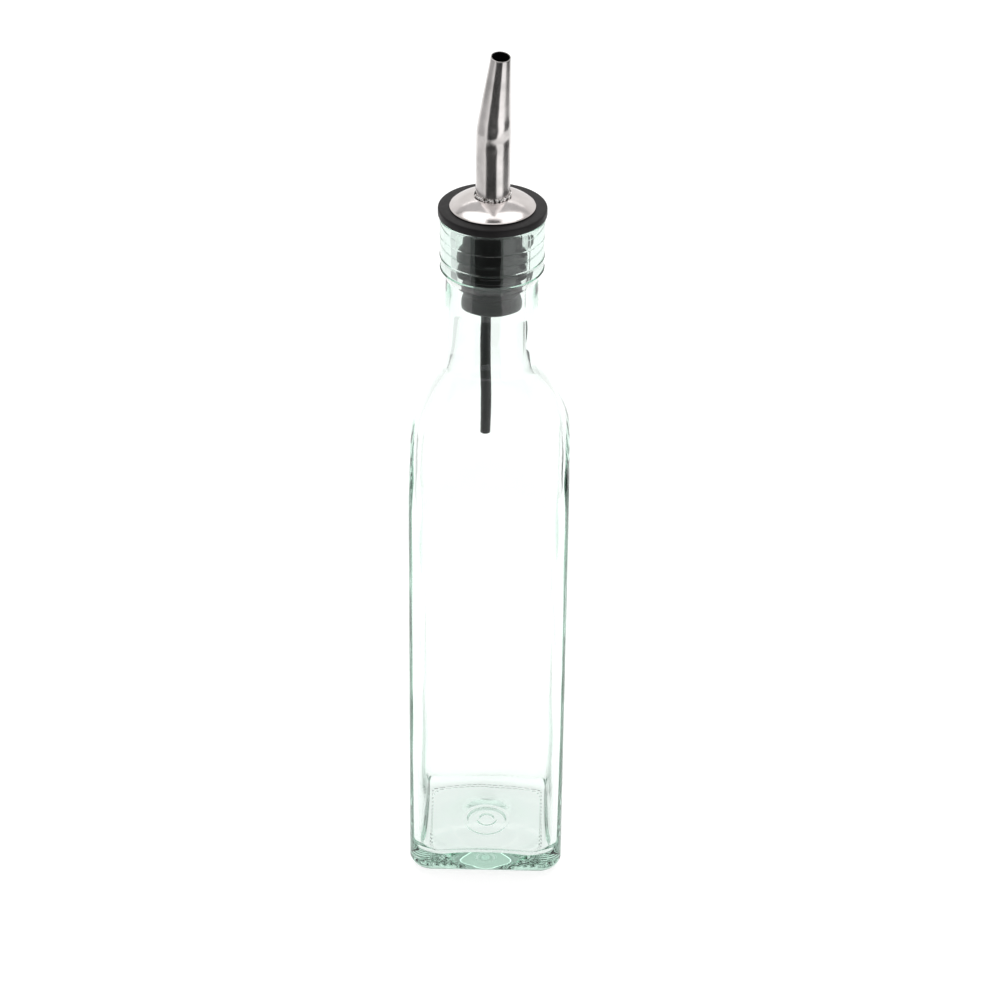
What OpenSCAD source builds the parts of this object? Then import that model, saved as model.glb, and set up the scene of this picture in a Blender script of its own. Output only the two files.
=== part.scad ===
// Square glass oil bottle with a tapered steel pour spout in a black ribbed stopper.
// Millimetres. +Z is up, the origin is the centre of the base, and the front is -Y.

/* [Glass body] */
// Width of the square body, flat to flat
body_w = 47.4; // [44:0.2:54]
// Height of the glass, from the base to the rim of the mouth
glass_h = 217; // [195:1:245]
// Radius of the body's four upright corners
corner_r = 7; // [6:0.5:10]
// Radius of the heel, where the sides turn under
heel_r = 4.5; // [3:0.5:5.5]
// Thickness of the side walls
wall = 2.5; // [2:0.1:3.2]
// Thickness of the base, from the bearing ring to the oil
base_t = 6.5; // [5:0.5:9]
// Radius of the round hollow under the base
hollow_r = 15.5; // [11:0.5:16.5]
// Height of that hollow at its centre
hollow_h = 2.4; // [1:0.2:3]

/* [Neck] */
// Radius of the glass ring around the mouth
ring_r = 15.3; // [14.8:0.1:17]
// Height of that ring, without its sloping underside
ring_h = 16.5; // [12:0.5:19]
// Radius of the neck just under the ring
neck_r = 13.5; // [13:0.1:14]
// Depth of the neck's lower end below the rim
neck_depth = 43.5; // [40:0.5:48]
// Slope of the shoulder, in degrees from upright
shoulder_lean = 26.5; // [24:0.5:32]
// Radius of the bore at the mouth
mouth_r = 10.5; // [10.5:0.1:11.2]
// Radius of the bore at its waist, below the ring
waist_r = 9.5; // [9.4:0.1:9.9]

/* [Stopper] */
// Radius of the flange that rests on the rim
flange_r = 15.6; // [14:0.1:18]
// Thickness of the flange
flange_t = 2.35; // [1.8:0.05:4]
// Length of the plug below the rim
plug_len = 28.6; // [26:0.2:31]
// Radius of the plug between its ribs
plug_r = 7.8; // [6.8:0.1:8.3]
// Radius of the two upper ribs
upper_rib_r = 10.2; // [9.6:0.1:10.2]
// Radius of the two lower ribs
lower_rib_r = 9.15; // [8.6:0.05:9.15]

/* [Pour spout] */
// Radius of the spout's straight lower part
spout_r = 4.9; // [4.5:0.1:5.2]
// Radius of the spout's tip
tip_r = 2.8; // [2.2:0.05:3]
// Thickness of the spout's steel
spout_t = 0.55; // [0.4:0.05:0.8]
// Height of the bend above the flange
bend_h = 23.6; // [17:0.2:28]
// Length of the tapered part, from the bend to the tip
taper_len = 24.6; // [20:0.2:36]
// Lean of the tapered part, in degrees
spout_lean = 10; // [5:1:20]
// Compass direction of that lean, in degrees from +X towards +Y
spout_aim = -63.5; // [-180:0.5:180]
// Radius of the domed steel cap
cap_r = 12.35; // [11:0.05:13.5]
// Height of the cap
cap_h = 3.5; // [2.6:0.1:4.5]
// Thickness of the cap's steel
cap_t = 0.6; // [0.4:0.05:0.8]

/* [Vent tube] */
// Outer radius of the black vent tube
vent_r = 1.52; // [1.2:0.02:1.6]
// Radius of the vent tube's own bore
vent_bore_r = 0.9; // [0.6:0.05:0.95]
// Distance of the vent tube from the bottle's axis
vent_offset = 1.6; // [1.2:0.1:2]
// Length of the vent tube below the plug
vent_drop = 42.4; // [20:0.2:90]

/* [Hidden] */
$fn = 96;

half_w = body_w / 2;
corner_reach = (half_w - corner_r) * sqrt(2) + corner_r;
inner_half_w = half_w - wall;
inner_corner_r = corner_r - wall;
inner_heel_r = 5;
beyond = 1;

// Shoulder: a cone that a concave arc carries into the neck
neck_base_r = neck_r + 0.4;
neck_fillet_r = 14;
neck_base_z = glass_h - neck_depth;
shoulder_top_r = neck_base_r + neck_fillet_r * (1 - cos(shoulder_lean));
shoulder_top_z = neck_base_z - neck_fillet_r * sin(shoulder_lean);

// Ring around the mouth
ring_low_z = glass_h - ring_h;
ring_slope_h = 3.3;
ring_round = 0.8;
mouth_round = 0.6;

// Bore of the neck
ring_bore_depth = 19;
waist_depth = 26;
waist_len = 7;
throat_r = waist_r + 0.9;
throat_z = neck_base_z - 2;
slope_wall = wall / cos(shoulder_lean);

// Stopper: its flange sits this far above the glass rim
seat_gap = 0.05;
flange_low_z = glass_h + seat_gap;
flange_top_z = flange_low_z + flange_t;
flange_round = 0.4;
plug_low_z = glass_h - plug_len;
web_t = 2.4;
stem_clearance = 0.05;
vent_clearance = 0.02;
port_gap = 0.45;

// Spout, its stem inside the stopper, and the steel cap on the flange
cap_gap = 0.1;
cap_low_z = flange_top_z + cap_gap;
cap_top_z = cap_low_z + cap_h;
stem_low_z = plug_low_z + web_t + 1;
bend_z = flange_top_z + bend_h;
bend_collar_len = 0.6;
miter_reach = spout_r * tan(spout_lean / 2) + beyond;
bend_reach = bend_z - stem_low_z + beyond;
// The tapered part is this much slimmer at the bend and starts this far inside the stem
bend_step = 0.03;
bend_lap = 0.1;
vent_top_z = cap_top_z + 0.5;

// Points of an arc about [x, z], from one angle to another
function arc(x, z, r, from, to, steps = 6) =
    [for (i = [0:steps])
        let (a = from + (to - from) * i / steps)
        [x + r * cos(a), z + r * sin(a)]];

// Plan of the body: a square with rounded corners
module rounded_square(half, r) {
    square([2 * (half - r), 2 * half], center = true);
    square([2 * half, 2 * (half - r)], center = true);
    for (x = [-1, 1], y = [-1, 1])
        translate([x * (half - r), y * (half - r)])
            circle(r);
}

// Side view of the body: upright sides that turn under at the heel
module heeled_side(half, r, low, high) {
    translate([-half, low + r])
        square([2 * half, high - low - r]);
    translate([r - half, low])
        square([2 * (half - r), r]);
    for (x = [-1, 1])
        translate([x * (half - r), low + r])
            circle(r);
}

// Square body with rounded corners and heel, from one height to another
module square_form(half, r, heel, low, high) {
    intersection() {
        translate([0, 0, low])
            linear_extrude(high - low)
                rounded_square(half, r);
        rotate([90, 0, 0])
            translate([0, 0, -half - beyond])
                linear_extrude(2 * (half + beyond))
                    heeled_side(half, heel, low, high);
        rotate([90, 0, 90])
            translate([0, 0, -half - beyond])
                linear_extrude(2 * (half + beyond))
                    heeled_side(half, heel, low, high);
    }
}

// Turned outline of the outside: heel, corners, shoulder, neck and ring
module outside_turned() {
    shoulder_low_z = shoulder_top_z - (corner_reach - shoulder_top_r) / tan(shoulder_lean);
    ring_turn_r = ring_r - 0.35;
    rotate_extrude()
        polygon(concat(
            [[0, 0]],
            arc(corner_reach - heel_r, heel_r, heel_r, -90, 0),
            [[corner_reach, shoulder_low_z]],
            arc(neck_base_r + neck_fillet_r, neck_base_z, neck_fillet_r, 180 + shoulder_lean, 180, 5),
            [[neck_r, ring_low_z - ring_slope_h - 1.5]],
            [[neck_r + 0.15, ring_low_z - ring_slope_h]],
            [[ring_turn_r - 0.3, ring_low_z - 0.6]],
            [[ring_turn_r, ring_low_z + 0.4]],
            [[ring_r, ring_low_z + 4.5]],
            arc(ring_r - ring_round, glass_h - ring_round, ring_round, 0, 90, 3),
            [[0, glass_h]]));
}

// Turned outline of the hollow inside: shoulder, throat, waist and mouth
module inside_turned() {
    reach = corner_reach + beyond;
    cone_top_z = shoulder_top_z + (shoulder_top_r - slope_wall - throat_r - 0.6) / tan(shoulder_lean);
    cone_low_z = cone_top_z - (reach - throat_r - 0.6) / tan(shoulder_lean);
    rotate_extrude()
        polygon([
            [0, base_t],
            [reach, base_t],
            [reach, cone_low_z],
            [throat_r + 0.6, cone_top_z],
            [throat_r, throat_z + 1.5],
            [waist_r, glass_h - waist_depth - waist_len],
            [waist_r, glass_h - waist_depth],
            [mouth_r, glass_h - ring_bore_depth],
            [mouth_r, glass_h - mouth_round],
            [mouth_r + mouth_round, glass_h],
            [mouth_r + mouth_round, glass_h + beyond],
            [0, glass_h + beyond]]);
}

// Round hollow under the base, inside the flat bearing ring
module base_hollow() {
    step_h = 0.5;
    crown_h = hollow_h - step_h;
    crown_r = (hollow_r * hollow_r + crown_h * crown_h) / (2 * crown_h);
    crown_angle = asin(hollow_r / crown_r);
    rotate_extrude()
        polygon(concat(
            [[0, -beyond], [hollow_r + 0.4, -beyond], [hollow_r + 0.4, 0]],
            arc(0, hollow_h - crown_r, crown_r, 90 - crown_angle, 90, 5)));
}

// The bottle: one piece of pressed and blown glass
module glass_bottle() {
    color([0.82, 0.93, 0.88, 0.35])
        difference() {
            intersection() {
                square_form(half_w, corner_r, heel_r, 0, glass_h);
                outside_turned();
            }
            intersection() {
                square_form(inner_half_w, inner_corner_r, min(inner_heel_r, base_t), base_t, glass_h + beyond);
                inside_turned();
            }
            base_hollow();
        }
}

// Half outline of the plug and flange, from the bottom up
module stopper_outline() {
    low_rib_z = plug_low_z;
    mid_rib_z = plug_low_z + 4.6;
    top_rib_z = plug_low_z + 11.2;
    polygon(concat(
        [[0, low_rib_z]],
        [[lower_rib_r - 1.6, low_rib_z]],
        [[lower_rib_r, low_rib_z + 1.2]],
        [[lower_rib_r, low_rib_z + 2.2]],
        [[plug_r, low_rib_z + 3.6]],
        [[plug_r, mid_rib_z]],
        [[lower_rib_r - 0.3, mid_rib_z + 1.4]],
        [[lower_rib_r - 0.3, mid_rib_z + 2.6]],
        [[plug_r, mid_rib_z + 4.4]],
        [[plug_r, top_rib_z - 0.6]],
        [[upper_rib_r, top_rib_z + 1]],
        [[upper_rib_r, top_rib_z + 2.7]],
        [[plug_r + 0.3, top_rib_z + 3.3]],
        [[plug_r + 0.3, top_rib_z + 4.3]],
        [[upper_rib_r, top_rib_z + 5]],
        [[upper_rib_r, top_rib_z + 6.6]],
        [[plug_r + 0.5, top_rib_z + 9]],
        [[plug_r + 0.5, flange_low_z]],
        arc(flange_r - flange_round, flange_low_z + flange_round, flange_round, -90, 0, 3),
        arc(flange_r - flange_round, flange_top_z - flange_round, flange_round, 0, 90, 3),
        [[0, flange_top_z]]));
}

// The black stopper: flange, ribbed plug, bore for the spout, and a web that holds the vent tube
module stopper() {
    bore_r = spout_r + stem_clearance;
    port_low_x = vent_r - vent_offset + port_gap;
    port_r = spout_r - spout_t;
    color([0.07, 0.07, 0.075])
        difference() {
            rotate_extrude()
                stopper_outline();
            translate([0, 0, plug_low_z + web_t])
                cylinder(r = bore_r, h = glass_h);
            translate([-vent_offset, 0, plug_low_z - beyond])
                cylinder(r = vent_r + vent_clearance, h = web_t + 2 * beyond);
            intersection() {
                translate([0, 0, plug_low_z - beyond])
                    cylinder(r = port_r, h = web_t + 2 * beyond);
                translate([port_low_x, -port_r, plug_low_z - 2 * beyond])
                    cube([port_r, 2 * port_r, web_t + 4 * beyond]);
            }
        }
}

// The vent tube that lets air in below the plug
module vent_tube() {
    low_z = plug_low_z - vent_drop;
    color([0.05, 0.05, 0.055])
        translate([-vent_offset, 0, low_z])
            difference() {
                cylinder(r = vent_r, h = vent_top_z - low_z);
                translate([0, 0, -beyond])
                    cylinder(r = vent_bore_r, h = vent_top_z - low_z + 2 * beyond);
            }
}

// The spout's shape, drawn inset by the steel's thickness to make its bore
module spout_form(inset, overrun) {
    rotate([0, 0, spout_aim]) {
        intersection() {
            translate([0, 0, stem_low_z - overrun])
                cylinder(r = spout_r - inset, h = bend_z + miter_reach - stem_low_z + overrun);
            bend_side(-2 * bend_reach);
        }
        intersection() {
            translate([0, 0, bend_z])
                rotate([0, spout_lean, 0])
                    tapered_part(inset + bend_step, overrun);
            bend_side(-bend_lap);
        }
    }
}

// A large block from the given height above the plane that halves the bend
module bend_side(low) {
    translate([0, 0, bend_z])
        rotate([0, spout_lean / 2, 0])
            translate([-bend_reach, -bend_reach, low])
                cube(2 * bend_reach);
}

// Short collar and a cone, from the bend to the tip
module tapered_part(inset, overrun) {
    end_r = tip_r - overrun * (spout_r - tip_r) / (taper_len - bend_collar_len);
    rotate_extrude()
        polygon([
            [0, -miter_reach],
            [spout_r - inset, -miter_reach],
            [spout_r - inset, bend_collar_len],
            [end_r - inset, taper_len + overrun],
            [0, taper_len + overrun]]);
}

// The steel spout: straight stem in the stopper, bend, and tapered pouring part
module spout_tube() {
    color([0.72, 0.7, 0.69])
        difference() {
            spout_form(0, 0);
            spout_form(spout_t, beyond);
        }
}

// The pressed steel cap that covers the top of the stopper
module dome_cap() {
    hole_r = spout_r + stem_clearance;
    crown_r = 0.58 * cap_r;
    crown_z = cap_top_z - 0.15 * cap_h;
    slope_r = 0.77 * cap_r;
    slope_z = cap_top_z - 0.4 * cap_h;
    color([0.78, 0.75, 0.74])
        rotate_extrude()
            polygon([
                [cap_r - cap_t, cap_low_z],
                [cap_r, cap_low_z],
                [cap_r, cap_low_z + 0.5],
                [cap_r - 0.4, cap_low_z + 0.9],
                [slope_r, slope_z],
                [crown_r, crown_z],
                [spout_r + 0.7, cap_top_z],
                [hole_r, cap_top_z],
                [hole_r, cap_top_z - cap_t],
                [crown_r - 0.1, crown_z - cap_t],
                [slope_r - 0.2, slope_z - cap_t],
                [cap_r - cap_t - 0.3, cap_low_z + 0.5]]);
}

// The ring of solder that joins the spout to the cap
module solder_ring() {
    ring_low_z = cap_top_z;
    color([0.86, 0.84, 0.83])
        rotate_extrude()
            polygon([
                [spout_r, ring_low_z],
                [spout_r + 0.55, ring_low_z],
                [spout_r + 0.55, ring_low_z + 0.35],
                [spout_r + 0.35, ring_low_z + 0.8],
                [spout_r, ring_low_z + 1]]);
}

glass_bottle();
stopper();
vent_tube();
spout_tube();
dome_cap();
solder_ring();
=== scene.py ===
"""Looks of the square glass oil bottle: blown glass, black ribbed stopper, steel pour spout.

Every piece is built here as a fine mesh of the same size as its CAD node, in metres, in the CAD frame.
"""
import math

import bmesh
import bpy
from mathutils import Matrix, Vector, noise


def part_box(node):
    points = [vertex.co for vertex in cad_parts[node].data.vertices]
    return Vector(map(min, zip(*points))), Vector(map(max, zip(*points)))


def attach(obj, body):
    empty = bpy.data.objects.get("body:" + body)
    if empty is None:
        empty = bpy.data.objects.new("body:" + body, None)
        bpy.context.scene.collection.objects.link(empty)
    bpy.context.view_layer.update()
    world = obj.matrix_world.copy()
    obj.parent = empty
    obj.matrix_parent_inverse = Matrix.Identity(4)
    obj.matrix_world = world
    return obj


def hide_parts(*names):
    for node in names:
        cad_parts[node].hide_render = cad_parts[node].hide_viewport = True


MM = 0.001
FIT_GAP = 0.05 * MM
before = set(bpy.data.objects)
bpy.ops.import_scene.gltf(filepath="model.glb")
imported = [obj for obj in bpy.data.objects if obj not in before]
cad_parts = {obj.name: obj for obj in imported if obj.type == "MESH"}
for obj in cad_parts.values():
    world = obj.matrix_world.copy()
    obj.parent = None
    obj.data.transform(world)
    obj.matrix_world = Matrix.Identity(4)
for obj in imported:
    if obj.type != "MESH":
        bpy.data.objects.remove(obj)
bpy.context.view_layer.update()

# ---------------------------------------------------------------- sizes
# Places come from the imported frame; wall thicknesses and radii are the bottle's own, in metres.
GLASS_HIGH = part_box("glass_bottle")[1]
FLANGE_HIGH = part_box("stopper")[1]
PLUG_LOW_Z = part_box("stopper")[0].z
CAP_LOW, CAP_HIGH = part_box("dome_cap")
VENT_LOW, VENT_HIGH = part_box("vent_tube")
STEM_LOW_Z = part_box("spout_tube")[0].z
SOLDER_LOW, SOLDER_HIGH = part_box("solder_ring")

HALF_W = GLASS_HIGH.x
GLASS_H = GLASS_HIGH.z
CORNER_R = 7 * MM
HEEL_R = 4.5 * MM
WALL = 2.5 * MM
INNER_HEEL_R = 4 * MM
BASE_T = 6.5 * MM
FLOOR_RISE = 2.4 * MM
FLOOR_LEVEL_R = 18.5 * MM
HOLLOW_R = 15.5 * MM
HOLLOW_H = 2.4 * MM

RING_R = 15.3 * MM
RING_LOW_Z = GLASS_H - 16.5 * MM
NECK_R = 13.5 * MM
NECK_BASE_R = 13.9 * MM
NECK_BASE_Z = GLASS_H - 43.5 * MM
NECK_FILLET_R = 14 * MM
SHOULDER_Z = GLASS_H - 60 * MM
SHOULDER_LEAN = math.radians(26.5)
SHOULDER_TOP_Z = NECK_BASE_Z - NECK_FILLET_R * math.tan(SHOULDER_LEAN / 2)
MOUTH_R = 10.5 * MM
MOUTH_LAND_Z = GLASS_H - 4 * MM
WAIST_R = 9.5 * MM
THROAT_R = 10.4 * MM

FLANGE_R = FLANGE_HIGH.x
FLANGE_TOP_Z = FLANGE_HIGH.z
FLANGE_LOW_Z = GLASS_H + FIT_GAP
PLUG_R = 7.8 * MM
UPPER_RIB_R = 10.2 * MM
LOWER_RIB_R = 9.15 * MM
WEB_T = 2.4 * MM

SPOUT_R = 4.9 * MM
TIP_R = 2.8 * MM
SPOUT_T = 0.55 * MM
BEND_Z = FLANGE_TOP_Z + 23.6 * MM
TAPER_LEN = 24.6 * MM
BEND_R = 62 * MM
SPOUT_LEAN = math.radians(10)
SPOUT_AIM = math.radians(-63.5)
CAP_R = CAP_HIGH.x
CAP_T = 0.6 * MM

VENT_R = (VENT_HIGH.x - VENT_LOW.x) / 2
VENT_X = (VENT_HIGH.x + VENT_LOW.x) / 2
VENT_BORE_R = 0.9 * MM

ROUND = 432
GLASS_BOUNCES = 40


# ---------------------------------------------------------------- mesh helpers
def rounded_path(corners, steps=8, spacing=2 * MM):
    """Points of a path through (x, y, fillet radius) corners, with each fillet as an arc."""
    points = [Vector(corners[0][:2])]
    for before, here, after in zip(corners, corners[1:], corners[2:]):
        corner = Vector(here[:2])
        back = (Vector(before[:2]) - corner).normalized()
        ahead = (Vector(after[:2]) - corner).normalized()
        half_angle = back.angle(ahead) / 2
        if here[2] <= 0 or math.pi / 2 - half_angle < 1e-4:
            points.append(corner)
            continue
        trim = here[2] / math.tan(half_angle)
        centre = corner + (back + ahead).normalized() * here[2] / math.sin(half_angle)
        start = corner + back * trim - centre
        end = corner + ahead * trim - centre
        sweep = start.angle_signed(end)
        for i in range(steps + 1):
            points.append(centre + Matrix.Rotation(-sweep * i / steps, 2) @ start)
    points.append(Vector(corners[-1][:2]))
    return subdivided(points, spacing)


def subdivided(points, spacing):
    """The same path with no two neighbouring points further apart than spacing."""
    out = [points[0]]
    for a, b in zip(points, points[1:]):
        pieces = max(1, math.ceil((b - a).length / spacing))
        out += [a.lerp(b, i / pieces) for i in range(1, pieces + 1)]
    return out


def skin(name, rings, looped=False, start_pole=None, end_pole=None):
    """A smooth mesh over rings of equal point counts, closed into a loop or at its poles."""
    shape = bmesh.new()
    rows = [[shape.verts.new(p) for p in ring] for ring in rings]
    pairs = list(zip(rows, rows[1:]))
    if looped:
        pairs.append((rows[-1], rows[0]))
    for low, high in pairs:
        for i in range(len(low)):
            j = (i + 1) % len(low)
            shape.faces.new((low[i], low[j], high[j], high[i]))
    for pole, row in ((start_pole, rows[0]), (end_pole, rows[-1])):
        if pole is not None:
            tip = shape.verts.new(pole)
            for i in range(len(row)):
                shape.faces.new((row[i], row[(i + 1) % len(row)], tip))
    bmesh.ops.recalc_face_normals(shape, faces=shape.faces)
    for face in shape.faces:
        face.smooth = True
    mesh = bpy.data.meshes.new(name)
    shape.to_mesh(mesh)
    shape.free()
    piece = bpy.data.objects.new(name, mesh)
    bpy.context.scene.collection.objects.link(piece)
    return piece


def circle_angles(count):
    """Evenly spaced angles once around."""
    return [2 * math.pi * i / count for i in range(count)]


def turned_ring(radius, z, count=96):
    """A level circle of points."""
    return [Vector((radius * math.cos(a), radius * math.sin(a), z)) for a in circle_angles(count)]


def turned(name, outline, count=96):
    """A body of revolution from a closed outline of (radius, height) points."""
    return skin(name, [turned_ring(p.x, p.y, count) for p in outline], looped=True)


def bell(offset, width):
    """A smooth bump: 1 at no offset, and nearly 0 two widths away."""
    return math.exp(-((offset / width) ** 2))


def ease(value, start, length):
    """Runs from 0 at start to 1 at start + length, and stays there."""
    return min(1, max(0, (value - start) / length))


def install(piece, body, node, slot, *materials):
    """Puts a finished piece in the place of its CAD node."""
    for material in materials:
        piece.data.materials.append(material)
    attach(piece, body)
    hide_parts(node)


# ---------------------------------------------------------------- glass shape
# How sharply the square form turns into the round one, outside and inside.
OUTER_BLEND = 24
INNER_BLEND = 32
# A turned radius too large to cut anything off the square form.
UNCUT = 1000 * MM
KNURLS = 72
KNURL_H = 0.22 * MM


def square_reach(angle, half, corner):
    """How far a rounded square reaches from its centre in the direction of angle."""
    turn = abs((angle + math.pi / 4) % (math.pi / 2) - math.pi / 4)
    centre = half - corner
    if half * math.tan(turn) <= centre:
        return half / math.cos(turn)
    along = centre * (math.cos(turn) + math.sin(turn))
    return along + math.sqrt(along * along - 2 * centre * centre + corner * corner)


def soft_min(a, b, power):
    """The lesser of two reaches, with the crease between them rounded off."""
    return (a**-power + b**-power) ** (-1 / power)


def glass_ring(z, half, corner, turned_r, lift=None, push=None, blend=OUTER_BLEND):
    """One level of the glass: a rounded square cut down to a round form, with small unevenness."""
    ring = []
    for angle in circle_angles(ROUND):
        reach = soft_min(square_reach(angle, half, corner), turned_r, blend)
        if push:
            reach += push(angle, z)
        height = z + (lift(angle) if lift else 0)
        ring.append(Vector((reach * math.cos(angle), reach * math.sin(angle), height)))
    return ring


def uneven(angle, z, size, coarse, seed):
    """Smooth waviness over a round surface, up to about the given size."""
    place = Vector((math.cos(angle), math.sin(angle), z / HALF_W)) * coarse + Vector((seed, 0, 0))
    return size * noise.noise(place)


def seam(angle, z):
    """The fine upright line that the two halves of the mould left on each side of the neck."""
    seam_h = 0.07 * MM
    seam_w = 0.2 * MM
    off_line = abs(angle % math.pi - 3 * math.pi / 4) * RING_R
    return seam_h * bell(off_line, seam_w) * ease(z, NECK_BASE_Z, 10 * MM)


def outer_push(angle, z):
    """The outside lies a little within the mould's size, apart from its seams."""
    shrinkage = 0.1 * MM
    ripple = uneven(angle, z, 0.05 * MM, coarse=1.6, seed=3)
    return seam(angle, z) - shrinkage - abs(ripple)


def inner_push(angle, z):
    """The blown inside is wavy below the neck, and the glass is thicker above the shoulder."""
    below_neck = 1 - ease(z, NECK_BASE_Z - 10 * MM, 20 * MM)
    waves = uneven(angle, z, 0.35 * MM * below_neck, coarse=1.3, seed=11)
    gathered = 0.6 * MM * bell(z - SHOULDER_Z - 9 * MM, 6 * MM)
    return waves - gathered


def bead(radius, z, height, half):
    """Outline corners of a fine raised line around the ring."""
    foot_r = 0.12 * MM
    crest_r = 0.15 * MM
    return [(radius, z - half, foot_r), (radius + height, z, crest_r), (radius, z + half, foot_r)]


def cone_radius(z, top_r, top_z):
    """Radius at height z of the shoulder's cone, which passes through (top_r, top_z)."""
    return top_r + (top_z - z) * math.tan(SHOULDER_LEAN)


def outer_outline():
    """Turned outline outside, from the heel's top up over the rim and into the mouth."""
    return rounded_path([
        (cone_radius(HEEL_R, NECK_BASE_R, SHOULDER_TOP_Z), HEEL_R, 0),
        (NECK_BASE_R, SHOULDER_TOP_Z, NECK_FILLET_R),
        (NECK_R, RING_LOW_Z - 2.8 * MM, 1.5 * MM),
        *bead(RING_R - 0.4 * MM, RING_LOW_Z + 0.1 * MM, height=0.3 * MM, half=0.35 * MM),
        *bead(RING_R - 0.25 * MM, RING_LOW_Z + 4 * MM, height=0.2 * MM, half=0.3 * MM),
        *bead(RING_R - 0.15 * MM, RING_LOW_Z + 10.5 * MM, height=0.08 * MM, half=0.25 * MM),
        (RING_R, GLASS_H, 0.9 * MM),
        (MOUTH_R, GLASS_H, 0.7 * MM),
        (MOUTH_R, MOUTH_LAND_Z, 0),
    ])


def inner_outline():
    """Turned outline inside, from the mouth down past the shoulder to the inner heel."""
    slope_wall = WALL / math.cos(SHOULDER_LEAN)
    throat_z = SHOULDER_TOP_Z - (THROAT_R + slope_wall - NECK_BASE_R) / math.tan(SHOULDER_LEAN)
    low_z = BASE_T + INNER_HEEL_R
    bore_round = 20 * MM
    throat_round = 26 * MM
    return rounded_path([
        (MOUTH_R, MOUTH_LAND_Z, 0),
        (MOUTH_R - 0.1 * MM, GLASS_H - 15 * MM, bore_round),
        (WAIST_R, GLASS_H - 30 * MM, bore_round),
        (THROAT_R, throat_z, throat_round),
        (cone_radius(low_z, THROAT_R, throat_z), low_z, 0),
    ])


def knurl(row, angle):
    """Height of the stippled bearing ring above the surface it stands on."""
    return KNURL_H * (1 + math.cos(KNURLS * angle + math.pi * row))


def hollow_rings():
    """The hollow under the base, with two plain raised rings in its middle."""
    steps = 48
    rim_r = HOLLOW_R + 0.6 * MM
    mark_h = 0.35 * MM
    mark_w = 0.55 * MM
    rings = []
    for i in range(1, steps + 1):
        r = rim_r * i / steps
        z = HOLLOW_H * math.cos(math.pi / 2 * r / rim_r) ** 2
        for mark_r in (2.6 * MM, 6.2 * MM):
            z -= mark_h * bell(r - mark_r, mark_w)
        rings.append(turned_ring(r, z, ROUND))
    return rings


def bearing_rings():
    """The flat ring that the bottle stands on, stippled in two rows, from the hollow to the heel."""
    steps = 12
    first_half = HOLLOW_R + 1.3 * MM
    last_half = outer_half_at(0) - HEEL_R
    first_corner = 6 * MM
    last_corner = CORNER_R - HEEL_R
    rings = []
    for i in range(steps + 1):
        half = first_half + (last_half - first_half) * i / steps
        corner = first_corner + (last_corner - first_corner) * i / steps
        row = 0 if i < steps / 2 else 1
        rough = math.sin(2 * math.pi * i / steps) ** 2
        rings.append(glass_ring(0, half, corner, UNCUT, lift=lambda a: rough * knurl(row, a)))
    return rings


def outer_half_at(z):
    """The mould is a hair narrower at the foot, so that the bottle comes out of it."""
    draft = 0.17 * MM
    return HALF_W - draft * max(0, 1 - z / SHOULDER_Z)


def heel_rings():
    """The outside turning up from the bearing ring into the side walls."""
    steps = 9
    rings = []
    for i in range(1, steps):
        a = math.pi / 2 * i / steps
        inset = HEEL_R * (1 - math.sin(a))
        z = HEEL_R * (1 - math.cos(a))
        rings.append(glass_ring(z, outer_half_at(0) - inset, CORNER_R - inset, UNCUT))
    return rings


def inner_half_at(z):
    """The walls are thicker at the base and at the shoulder, where the soft glass gathered."""
    at_base = 0.4 * MM * max(0, 1 - z / (90 * MM)) ** 2
    at_shoulder = 0.3 * MM * bell(z - SHOULDER_Z, 13 * MM)
    return outer_half_at(z) - WALL - at_base - at_shoulder


def floor_dome(radius):
    """The floor inside rises to its middle and sinks into its corners."""
    return FLOOR_RISE * (1 - (radius / FLOOR_LEVEL_R) ** 2)


def floor_rings():
    """The inner heel and floor, from the side walls to the middle."""
    heel_steps = 9
    floor_steps = 24
    corner_growth = 3 * MM
    rings = []
    for i in range(1, heel_steps + 1):
        a = math.pi / 2 * i / heel_steps
        inset = INNER_HEEL_R * (1 - math.cos(a))
        z = BASE_T + INNER_HEEL_R * (1 - math.sin(a))
        corner = CORNER_R - WALL + corner_growth * math.sin(a)
        ring = glass_ring(z, inner_half_at(z) - inset, corner, UNCUT)
        rings.append([p + Vector((0, 0, floor_dome(p.xy.length) * math.sin(a))) for p in ring])
    edge = rings[-1]
    for i in range(1, floor_steps):
        shrink = 1 - i / floor_steps
        rings.append([Vector((p.x * shrink, p.y * shrink, BASE_T + floor_dome(p.xy.length * shrink)))
                      for p in edge])
    return rings


def make_glass(material):
    """The whole bottle as one closed skin, from under the base round to the floor inside."""
    rings = hollow_rings() + bearing_rings() + heel_rings()
    for p in outer_outline():
        rings.append(glass_ring(p.y, outer_half_at(p.y), CORNER_R, p.x, push=outer_push))
    for p in inner_outline()[1:]:
        rings.append(glass_ring(p.y, inner_half_at(p.y), CORNER_R - WALL, p.x, push=inner_push,
                                blend=INNER_BLEND))
    rings += floor_rings()
    hollow_top = Vector((0, 0, HOLLOW_H - 0.02 * MM))
    floor_top = Vector((0, 0, BASE_T + FLOOR_RISE))
    piece = skin("bottle_glass", rings, start_pole=hollow_top, end_pole=floor_top)
    install(piece, "bottle", "glass_bottle", "clear_glass", material)
    return piece


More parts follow.
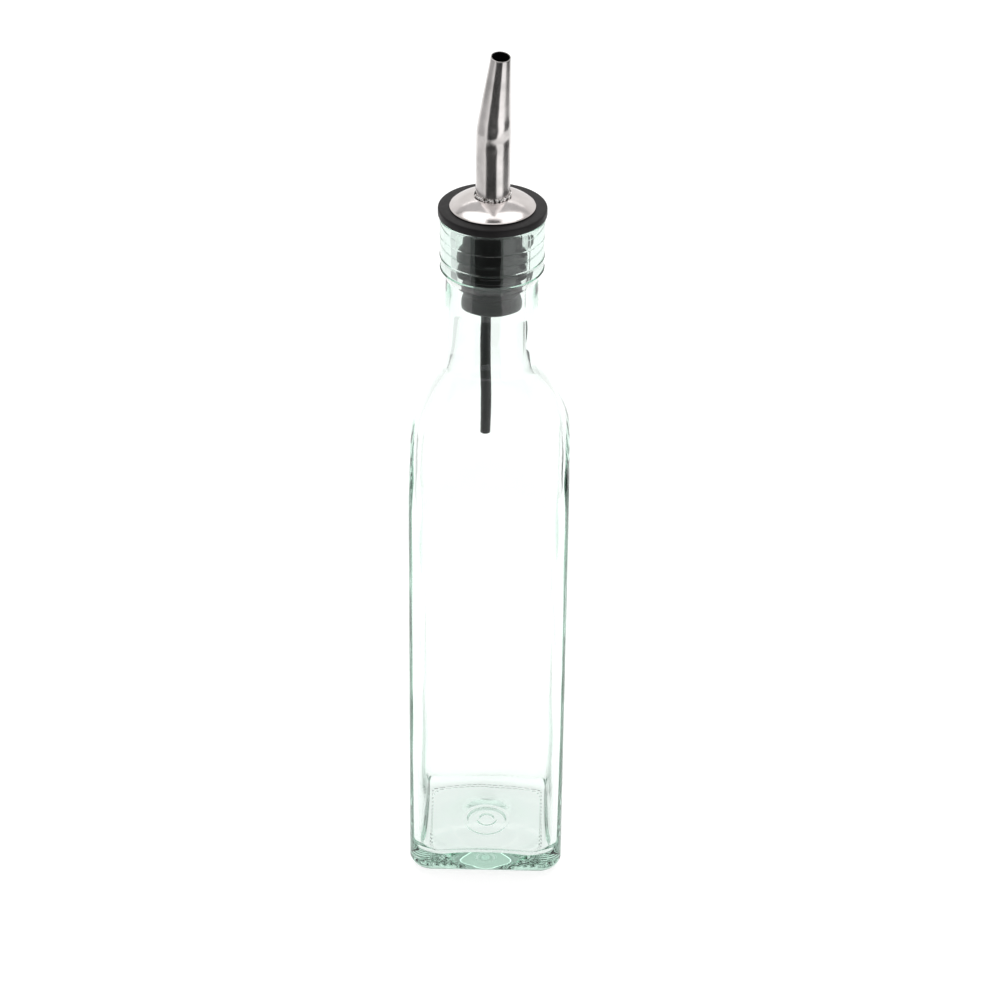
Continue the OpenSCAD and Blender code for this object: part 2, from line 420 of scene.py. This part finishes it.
# ---------------------------------------------------------------- stopper and vent tube
def make_stopper(material):
    """One turned moulding: web, plug with two lower and two upper fins, and flange."""
    low = PLUG_LOW_Z
    mid = low + 4.6 * MM
    top = low + 11.2 * MM
    bore_r = SPOUT_R + FIT_GAP
    port_r = SPOUT_R - 0.6 * MM
    lower_fin_r = LOWER_RIB_R - 0.3 * MM
    waist_r = PLUG_R + 0.3 * MM
    neck_r = PLUG_R + 0.5 * MM
    outline = rounded_path([
        (bore_r, low + 3 * MM, 0),
        (bore_r, low + WEB_T, 0.2 * MM),
        (port_r, low + WEB_T, 0.2 * MM),
        (port_r, low, 0.3 * MM),
        (LOWER_RIB_R - 1.6 * MM, low, 0.6 * MM),
        (LOWER_RIB_R, low + 1.2 * MM, 0.5 * MM),
        (LOWER_RIB_R, low + 2.2 * MM, 0.5 * MM),
        (PLUG_R, low + 3.6 * MM, 0.5 * MM),
        (PLUG_R, mid, 0.4 * MM),
        (lower_fin_r, mid + 1.4 * MM, 0.5 * MM),
        (lower_fin_r, mid + 2.6 * MM, 0.5 * MM),
        (PLUG_R, mid + 4.4 * MM, 0.6 * MM),
        (PLUG_R, top - 0.6 * MM, 0.6 * MM),
        (UPPER_RIB_R, top + 0.8 * MM, 0.4 * MM),
        (UPPER_RIB_R, top + 1.7 * MM, 0.4 * MM),
        (waist_r, top + 2.6 * MM, 0.4 * MM),
        (waist_r, top + 4.9 * MM, 0.4 * MM),
        (UPPER_RIB_R, top + 5.6 * MM, 0.3 * MM),
        (UPPER_RIB_R, top + 6.6 * MM, 0.5 * MM),
        (neck_r, top + 9 * MM, 0.6 * MM),
        (neck_r, FLANGE_LOW_Z, 0.3 * MM),
        (FLANGE_R, FLANGE_LOW_Z, 0.35 * MM),
        (FLANGE_R, FLANGE_TOP_Z, 0.45 * MM),
        (bore_r, FLANGE_TOP_Z, 0.2 * MM),
        (bore_r, low + 3 * MM, 0),
    ], steps=5, spacing=1.5 * MM)
    piece = turned("stopper_moulding", outline[:-1], count=144)
    install(piece, "stopper", "stopper", "black_rubber", material)
    return piece


def make_vent(material):
    """A plastic tube with square-cut ends that is not quite straight."""
    height = VENT_HIGH.z - VENT_LOW.z
    levels = 48
    around = 40
    edge = 0.12 * MM
    ripple = 0.02 * MM
    bend = 0.2 * MM
    rings = []

    def ring(radius, z):
        down = (VENT_HIGH.z - z) / height
        bow = bend * math.sin(9 * down) * down
        return [p + Vector((VENT_X + bow, bow / 2, 0)) for p in turned_ring(radius, z, around)]

    for i in range(levels + 1):
        z = VENT_LOW.z + edge + (height - 2 * edge) * i / levels
        rings.append(ring(VENT_R - ripple * (i % 2), z))
    rings.append(ring(VENT_R - edge, VENT_HIGH.z))
    for i in range(levels + 1):
        z = VENT_HIGH.z - height * i / levels
        rings.append(ring(VENT_BORE_R, z))
    rings.append(ring(VENT_R - edge, VENT_LOW.z))
    piece = skin("vent_pipe", rings, looped=True)
    install(piece, "stopper", "vent_tube", "black_plastic", material)
    return piece


# ---------------------------------------------------------------- steel parts
def spout_centre(distance):
    """Point and direction on the spout's centre line, with the bend as an arc."""
    aim = Vector((math.cos(SPOUT_AIM), math.sin(SPOUT_AIM), 0))
    up = Vector((0, 0, 1))
    trim = BEND_R * math.tan(SPOUT_LEAN / 2)
    straight = BEND_Z - trim - STEM_LOW_Z
    arc = BEND_R * SPOUT_LEAN
    base = Vector((0, 0, STEM_LOW_Z))
    if distance <= straight:
        return base + up * distance, up
    turn = min((distance - straight) / BEND_R, SPOUT_LEAN)
    heading = up * math.cos(turn) + aim * math.sin(turn)
    point = base + up * (straight + BEND_R * math.sin(turn)) + aim * BEND_R * (1 - math.cos(turn))
    return point + heading * max(0, distance - straight - arc), heading


def spout_radius(along_taper):
    """Outer radius from the bend (0) to the tip (1)."""
    return SPOUT_R - (SPOUT_R - TIP_R) * min(max(along_taper, 0), 1)


def make_spout(outside, inside):
    """A steel tube with a thinned lip and a faint slanting wrinkle on the inner side of its bend."""
    straight = BEND_Z - STEM_LOW_Z
    total = straight + TAPER_LEN - FIT_GAP
    lip = 0.16 * MM
    lip_t = 0.3 * MM
    lip_step = 0.05 * MM
    flare = 3 * MM
    wrinkle_h = 0.2 * MM
    wrinkle_w = 2 * MM
    slant = 1.8 * MM
    levels = 180
    around = 96
    across = Vector((-math.sin(SPOUT_AIM), math.cos(SPOUT_AIM), 0))

    def ring(distance, inset, wrinkle=0.0):
        point, heading = spout_centre(distance)
        other = across.cross(heading)
        radius = spout_radius((distance - straight) / TAPER_LEN) - inset
        out = []
        for a in circle_angles(around):
            past_bend = distance - straight - slant * math.cos(a)
            ridge = bell(past_bend - 1.1 * wrinkle_w, wrinkle_w)
            dip = bell(past_bend + 1.1 * wrinkle_w, wrinkle_w)
            r = radius + wrinkle * (ridge - dip) * max(0, math.sin(a)) ** 2
            out.append(point + (across * math.cos(a) + other * math.sin(a)) * r)
        return out

    rings = [ring((total - lip) * i / levels, 0, wrinkle_h) for i in range(levels + 1)]
    rings.append(ring(total - lip_step, 0.04 * MM))
    rings.append(ring(total, 0.12 * MM))
    rings.append(ring(total - lip_step, lip_t - 0.06 * MM))
    first_inside = len(rings)
    for i in range(levels + 1):
        distance = (total - lip) * (1 - i / levels)
        thinning = max(0, 1 - (total - distance) / flare)
        rings.append(ring(distance, SPOUT_T - (SPOUT_T - lip_t) * thinning))
    piece = skin("spout_pipe", rings, looped=True)
    piece.data.materials.append(outside)
    piece.data.materials.append(inside)
    # The faces inside the tube take the second material, steel with painted shade.
    for face in piece.data.polygons:
        if first_inside - 1 <= face.index // around < len(rings) - 1:
            face.material_index = 1
    install(piece, "spout", "spout_tube", "brushed_steel")
    return piece


def make_cap(material):
    """A thin domed pressing with a hole for the spout."""
    rim_z = CAP_LOW.z
    top_z = CAP_HIGH.z
    hole_r = SPOUT_R + FIT_GAP
    outline = rounded_path([
        (CAP_R - CAP_T, rim_z, 0),
        (CAP_R - 0.12 * MM, rim_z, 0.1 * MM),
        (CAP_R, rim_z + 0.25 * MM, 0.15 * MM),
        (CAP_R - 0.3 * MM, rim_z + 0.55 * MM, 0.3 * MM),
        (0.74 * CAP_R, top_z - 0.79 * MM, 16 * MM),
        (SPOUT_R + 0.7 * MM, top_z, 0.4 * MM),
        (hole_r, top_z, 0.1 * MM),
        (hole_r, top_z - CAP_T, 0),
        (0.57 * CAP_R, top_z - 0.55 * MM - CAP_T, 5 * MM),
        (0.75 * CAP_R, top_z - 1.45 * MM - CAP_T, 5 * MM),
        (CAP_R - CAP_T - 0.3 * MM, rim_z + 0.5 * MM, 0.4 * MM),
        (CAP_R - CAP_T, rim_z, 0),
    ], steps=12, spacing=0.5 * MM)
    piece = turned("cap_pressing", outline[:-1], count=192)
    install(piece, "spout", "dome_cap", "pressed_steel", material)
    return piece


def make_solder(material):
    """A ring of small run-together beads."""
    around = 480
    section = 20
    lobes = 16
    middle = 0.42
    reach = 0.57
    width = SOLDER_HIGH.x - SPOUT_R
    height = SOLDER_HIGH.z - SOLDER_LOW.z
    rings = []
    for i in range(section):
        s = 2 * math.pi * i / section
        ring = []
        for angle in circle_angles(around):
            lump = abs(math.sin(lobes * angle + 1.2 * math.sin(3 * angle))) ** 0.7
            grain = uneven(angle, z=0, size=1, coarse=9, seed=0)
            size = 0.3 + 0.58 * lump + 0.12 * grain
            r = SPOUT_R + width * (middle + reach * size * math.cos(s))
            z = SOLDER_LOW.z + height * (middle + reach * size * math.sin(s))
            ring.append(Vector((r * math.cos(angle), r * math.sin(angle), max(z, SOLDER_LOW.z))))
        rings.append(ring)
    piece = skin("solder_beads", rings, looped=True)
    install(piece, "spout", "solder_ring", "tin_solder", material)
    return piece


# ---------------------------------------------------------------- materials
def new_material(name):
    """A material with its nodes, links and main shader."""
    material = bpy.data.materials.new(name)
    material.use_nodes = True
    nodes = material.node_tree.nodes
    return material, nodes, material.node_tree.links, nodes["Principled BSDF"]


def object_noise(nodes, links, scale, detail, stretch=(1, 1, 1), distortion=0.0):
    """A noise texture fixed to the piece, stretched along its axes."""
    coordinates = nodes.new("ShaderNodeTexCoord")
    mapping = nodes.new("ShaderNodeMapping")
    mapping.inputs["Scale"].default_value = stretch
    texture = nodes.new("ShaderNodeTexNoise")
    texture.inputs["Scale"].default_value = scale
    texture.inputs["Detail"].default_value = detail
    texture.inputs["Distortion"].default_value = distortion
    links.new(coordinates.outputs["Object"], mapping.inputs["Vector"])
    links.new(mapping.outputs["Vector"], texture.inputs["Vector"])
    return texture.outputs["Fac"]


def ramp(nodes, links, source, stops):
    """A colour ramp from a list of (position, colour) stops."""
    node = nodes.new("ShaderNodeValToRGB")
    elements = node.color_ramp.elements
    while len(elements) < len(stops):
        elements.new(0.5)
    for element, (position, colour) in zip(elements, stops):
        element.position = position
        element.color = (*colour, 1)
    links.new(source, node.inputs["Fac"])
    return node.outputs["Color"]


def grey_range(nodes, links, source, low, high):
    """A value that runs from low to high as source runs from 0 to 1."""
    node = nodes.new("ShaderNodeMapRange")
    node.inputs["To Min"].default_value = low
    node.inputs["To Max"].default_value = high
    links.new(source, node.inputs["Value"])
    return node.outputs["Result"]


def bump(nodes, links, shader, height, strength, distance):
    """Fine relief from a height source."""
    node = nodes.new("ShaderNodeBump")
    node.inputs["Strength"].default_value = strength
    node.inputs["Distance"].default_value = distance
    links.new(height, node.inputs["Height"])
    links.new(node.outputs["Normal"], shader.inputs["Normal"])


def height_mask(nodes, links, low, high):
    """0 below the height low on the piece and 1 above high."""
    coordinates = nodes.new("ShaderNodeTexCoord")
    split = nodes.new("ShaderNodeSeparateXYZ")
    mask = nodes.new("ShaderNodeMapRange")
    mask.inputs["From Min"].default_value = low
    mask.inputs["From Max"].default_value = high
    links.new(coordinates.outputs["Object"], split.inputs["Vector"])
    links.new(split.outputs["Z"], mask.inputs["Value"])
    return mask.outputs["Result"]


def multiplied(nodes, links, first, second):
    """The product of two colours."""
    node = nodes.new("ShaderNodeVectorMath")
    node.operation = "MULTIPLY"
    links.new(first, node.inputs[0])
    links.new(second, node.inputs[1])
    return node.outputs["Vector"]


def glass_material():
    """Clear glass with a green cast, which is a little deeper in the thick ring at the mouth."""
    material, nodes, links, shader = new_material("bottle_clear_glass")
    faint = object_noise(nodes, links, scale=40, detail=2)
    cast = ramp(nodes, links, faint, [(0.3, (0.985, 1.0, 0.992)), (0.7, (1.0, 1.0, 1.0))])
    at_ring = height_mask(nodes, links, RING_LOW_Z - 1 * MM, RING_LOW_Z + 1 * MM)
    ring_cast = ramp(nodes, links, at_ring, [(0, (1.0, 1.0, 1.0)), (1, (0.91, 0.94, 0.925))])
    links.new(multiplied(nodes, links, cast, ring_cast), shader.inputs["Base Color"])
    haze = object_noise(nodes, links, scale=220, detail=3)
    links.new(grey_range(nodes, links, haze, low=0.0, high=0.035), shader.inputs["Roughness"])
    shader.inputs["IOR"].default_value = 1.51
    shader.inputs["Transmission Weight"].default_value = 1.0
    ripple = object_noise(nodes, links, scale=90, detail=1, stretch=(1, 1, 0.35))
    bump(nodes, links, shader, ripple, strength=0.12, distance=0.6 * MM)
    volume = nodes.new("ShaderNodeVolumeAbsorption")
    volume.inputs["Color"].default_value = (0.60, 0.795, 0.71, 1)
    volume.inputs["Density"].default_value = 38
    links.new(volume.outputs["Volume"], nodes["Material Output"].inputs["Volume"])
    return material


def rubber_material():
    """Satin black rubber with a fine mottle."""
    material, nodes, links, shader = new_material("stopper_black_rubber")
    mottle = object_noise(nodes, links, scale=260, detail=4)
    colours = [(0.3, (0.005, 0.0036, 0.0044)), (0.7, (0.009, 0.0075, 0.0085))]
    links.new(ramp(nodes, links, mottle, colours), shader.inputs["Base Color"])
    shader.inputs["Specular IOR Level"].default_value = 0.25
    wear = object_noise(nodes, links, scale=700, detail=3)
    links.new(grey_range(nodes, links, wear, low=0.38, high=0.56), shader.inputs["Roughness"])
    grain = object_noise(nodes, links, scale=2600, detail=3)
    bump(nodes, links, shader, grain, strength=0.25, distance=0.05 * MM)
    return material


def tube_material():
    """Dark plastic with streaks along its length."""
    material, nodes, links, shader = new_material("vent_black_plastic")
    streak = object_noise(nodes, links, scale=400, detail=3, stretch=(1, 1, 0.15))
    colours = [(0.3, (0.022, 0.022, 0.023)), (0.7, (0.04, 0.04, 0.042))]
    links.new(ramp(nodes, links, streak, colours), shader.inputs["Base Color"])
    links.new(grey_range(nodes, links, streak, low=0.3, high=0.5), shader.inputs["Roughness"])
    bump(nodes, links, shader, streak, strength=0.3, distance=0.06 * MM)
    return material


def steel_material(name, dark, light, roughness, stretch, grain, relief):
    """Metal with cloudy colour and a grain that is stretched along the piece's axes."""
    material, nodes, links, shader = new_material(name)
    streak = object_noise(nodes, links, scale=grain, detail=5, stretch=stretch)
    cloud = object_noise(nodes, links, scale=160, detail=3)
    links.new(ramp(nodes, links, cloud, [(0.35, dark), (0.65, light)]), shader.inputs["Base Color"])
    links.new(grey_range(nodes, links, streak, *roughness), shader.inputs["Roughness"])
    shader.inputs["Metallic"].default_value = 1.0
    bump(nodes, links, shader, streak, strength=relief, distance=0.03 * MM)
    return material


def spout_outside_material():
    """Drawn steel, brushed along the tube."""
    return steel_material("spout_brushed_steel", dark=(0.50, 0.48, 0.47), light=(0.66, 0.63, 0.62),
                          roughness=(0.12, 0.28), stretch=(1, 1, 0.06), grain=900, relief=0.5)


def spout_inside_shaded_material():
    """Dull steel inside the tube with painted shade: its colour is near black, as shade falls in the
    bore.
    """
    return steel_material("spout_inside_painted_shade_steel", dark=(0.05, 0.05, 0.05), light=(0.1, 0.095, 0.09),
                          roughness=(0.4, 0.6), stretch=(1, 1, 0.2), grain=600, relief=0.5)


def cap_material():
    """Bright pressed steel with an even grain."""
    return steel_material("cap_pressed_steel", dark=(0.60, 0.565, 0.555), light=(0.70, 0.665, 0.655),
                          roughness=(0.11, 0.22), stretch=(1, 1, 1), grain=500, relief=0.15)


def solder_material():
    """Bright specks of tin with burnt flux between them."""
    material, nodes, links, shader = new_material("solder_bright_tin")
    specks = object_noise(nodes, links, scale=1100, detail=1)
    colours = [(0.36, (0.04, 0.035, 0.03)), (0.5, (0.93, 0.91, 0.9))]
    links.new(ramp(nodes, links, specks, colours), shader.inputs["Base Color"])
    links.new(grey_range(nodes, links, specks, low=0.5, high=0.1), shader.inputs["Roughness"])
    shader.inputs["Metallic"].default_value = 1.0
    bump(nodes, links, shader, specks, strength=0.6, distance=0.2 * MM)
    return material


# ---------------------------------------------------------------- studio
FLOOR_Z = -0.05 * MM
CARD_LOW_Z = 5 * MM
CARD_HIGH_Z = 0.98
FRONT_TOP_Z = 1.05


def grey(value):
    """A neutral colour."""
    return (value, value, value)


def plane(name, corners, z):
    """A flat four-sided sheet from its (x, y) corners."""
    mesh = bpy.data.meshes.new(name)
    mesh.from_pydata([(x, y, z) for x, y in corners], [], [(0, 1, 2, 3)])
    piece = bpy.data.objects.new(name, mesh)
    bpy.context.scene.collection.objects.link(piece)
    return piece


def make_floor():
    """Pale paper with a painted pool of light, brightest on the floor behind the bottle."""
    floor = plane("studio_floor", [(-3, -3), (3, -3), (3, 3), (-3, 3)], FLOOR_Z)
    material, nodes, links, shader = new_material("pale_floor_painted_pool")
    shader.inputs["Base Color"].default_value = (*grey(0.35), 1)
    shader.inputs["Roughness"].default_value = 0.9
    shader.inputs["Specular IOR Level"].default_value = 0
    coordinates = nodes.new("ShaderNodeTexCoord")
    shift = nodes.new("ShaderNodeMapping")
    shift.inputs["Location"].default_value = (-0.04, -0.32, 0)
    shift.inputs["Scale"].default_value = (1.4, 0.85, 1)
    pool = nodes.new("ShaderNodeTexGradient")
    pool.gradient_type = "SPHERICAL"
    links.new(coordinates.outputs["Object"], shift.inputs["Vector"])
    links.new(shift.outputs["Vector"], pool.inputs["Vector"])
    # Painted light pool: the floor's glow rises from 0.75 to 0.85 towards a spot behind the bottle.
    painted_light_pool = ramp(nodes, links, pool.outputs["Fac"], [(0.0, grey(0.75)), (0.5, grey(0.85))])
    links.new(painted_light_pool, shader.inputs["Emission Color"])
    shader.inputs["Emission Strength"].default_value = 1
    floor.data.materials.append(material)


def make_card(name, corners, brightness, z):
    """A card in the studio, outside the picture, that the gloss and glass see."""
    card = plane(name, corners, z)
    card.visible_camera = False
    card.visible_diffuse = False
    card.visible_shadow = False
    material, nodes, links, shader = new_material(name)
    shader.inputs["Base Color"].default_value = (*grey(0), 1)
    shader.inputs["Emission Color"].default_value = (*grey(brightness), 1)
    shader.inputs["Emission Strength"].default_value = 1
    shader.inputs["Specular IOR Level"].default_value = 0
    card.data.materials.append(material)


def make_world():
    """A room that is pale behind the bottle and dim on the camera's side."""
    world = bpy.data.worlds.new("studio")
    bpy.context.scene.world = world
    world.use_nodes = True
    nodes = world.node_tree.nodes
    links = world.node_tree.links
    coordinates = nodes.new("ShaderNodeTexCoord")
    turn = nodes.new("ShaderNodeMapping")
    turn.inputs["Location"].default_value = (0, 0.5, 0)
    turn.inputs["Scale"].default_value = (0.5, 0.5, 0.5)
    split = nodes.new("ShaderNodeSeparateXYZ")
    links.new(coordinates.outputs["Generated"], turn.inputs["Vector"])
    links.new(turn.outputs["Vector"], split.inputs["Vector"])
    front_to_back = [
        (0.0, (0.2, 0.2, 0.2)),
        (0.3, (0.25, 0.245, 0.24)),
        (0.5, (0.6, 0.59, 0.58)),
        (0.75, (0.95, 0.94, 0.93)),
        (1.0, (1.0, 0.99, 0.98)),
    ]
    room = ramp(nodes, links, split.outputs["Y"], front_to_back)
    links.new(room, nodes["Background"].inputs["Color"])
    nodes["Background"].inputs["Strength"].default_value = 1


def make_light(name, place, width, depth, power):
    """A soft light that shines straight down."""
    data = bpy.data.lights.new(name, "AREA")
    data.shape = "RECTANGLE"
    data.size = width
    data.size_y = depth
    data.energy = power
    light = bpy.data.objects.new(name, data)
    bpy.context.scene.collection.objects.link(light)
    light.location = place


def make_cards():
    """Flags and reflectors: what the steel, rubber and glass mirror on each side."""
    low_cards = {
        "front_card": (0.05, [(-0.24, -0.22), (0.12, -0.26), (0.45, -1.0), (-1.0, -0.95)]),
        "front_right_card": (1.5, [(0.13, -0.25), (0.42, -0.1), (1.0, -0.3), (0.5, -0.98)]),
        "left_card": (0.9, [(-0.26, -0.15), (-0.56, -0.3), (-0.56, 0.5), (-0.26, 0.22)]),
        "far_left_card": (0.5, [(-0.56, -0.3), (-1.4, -0.5), (-1.4, 0.8), (-0.56, 0.5)]),
        "right_card": (0.12, [(0.41, -0.2), (1.2, -0.3), (1.2, 1.0), (0.39, 0.3)]),
    }
    high_cards = {
        "ceiling_card": (0.62, [(-0.05, 0.18), (0.1, 0.18), (1.2, 0.8), (-1.2, 0.8)]),
        "ceiling_edge": (0.2, [(-0.05, 0.14), (-0.05, 0.18), (-1.2, 0.8), (-1.2, 0.74)]),
        "boom_card": (0.05, [(-0.12, -0.2), (0.17, -0.2), (0.17, -0.04), (-0.12, -0.04)]),
    }
    front_top = [(-1.4, -0.6), (1.4, -0.6), (1.4, -0.17), (-1.4, -0.17)]
    for name, (brightness, corners) in low_cards.items():
        make_card(name, corners, brightness, CARD_LOW_Z)
    for name, (brightness, corners) in high_cards.items():
        make_card(name, corners, brightness, CARD_HIGH_Z)
    make_card("front_top_card", front_top, brightness=1.25, z=FRONT_TOP_Z)


# ---------------------------------------------------------------- camera
def make_camera():
    """A long lens in front of the bottle, about 1.1 m away and 37 degrees above the base."""
    distance = 0.8922
    height = 0.6623
    around = math.radians(0.9)
    pitch = math.radians(31.09)
    roll = math.radians(0.606)
    pan = math.radians(0.07)
    data = bpy.data.cameras.new("camera")
    data.sensor_width = 36
    data.lens = 127.7
    data.clip_start = 0.05
    data.clip_end = 20
    camera = bpy.data.objects.new("camera", data)
    bpy.context.scene.collection.objects.link(camera)
    heading = around - pan
    level = math.cos(pitch)
    ahead = Vector((-math.sin(heading) * level, math.cos(heading) * level, -math.sin(pitch)))
    right = ahead.cross(Vector((0, 0, 1))).normalized()
    up = right.cross(ahead)
    rolled_right = right * math.cos(roll) + up * math.sin(roll)
    rolled_up = up * math.cos(roll) - right * math.sin(roll)
    turn = Matrix((rolled_right, rolled_up, -ahead)).transposed()
    place = Vector((math.sin(around) * distance, -math.cos(around) * distance, height))
    camera.matrix_world = Matrix.Translation(place) @ turn.to_4x4()
    bpy.context.scene.camera = camera


def set_light_paths():
    """Enough bounces for light to come out of the thick glass, and plain display of its colours."""
    scene = bpy.context.scene
    scene.view_settings.view_transform = "Standard"
    scene.cycles.max_bounces = GLASS_BOUNCES
    scene.cycles.transmission_bounces = GLASS_BOUNCES
    scene.cycles.glossy_bounces = GLASS_BOUNCES


# ---------------------------------------------------------------- build
make_camera()
make_glass(glass_material())
make_stopper(rubber_material())
make_vent(tube_material())
make_spout(spout_outside_material(), spout_inside_shaded_material())
make_cap(cap_material())
make_solder(solder_material())

make_floor()
make_world()
make_cards()
make_light("overhead_softbox", place=(0.0, 0.42, 1.1), width=1.5, depth=1.2, power=7.4)
set_light_paths()
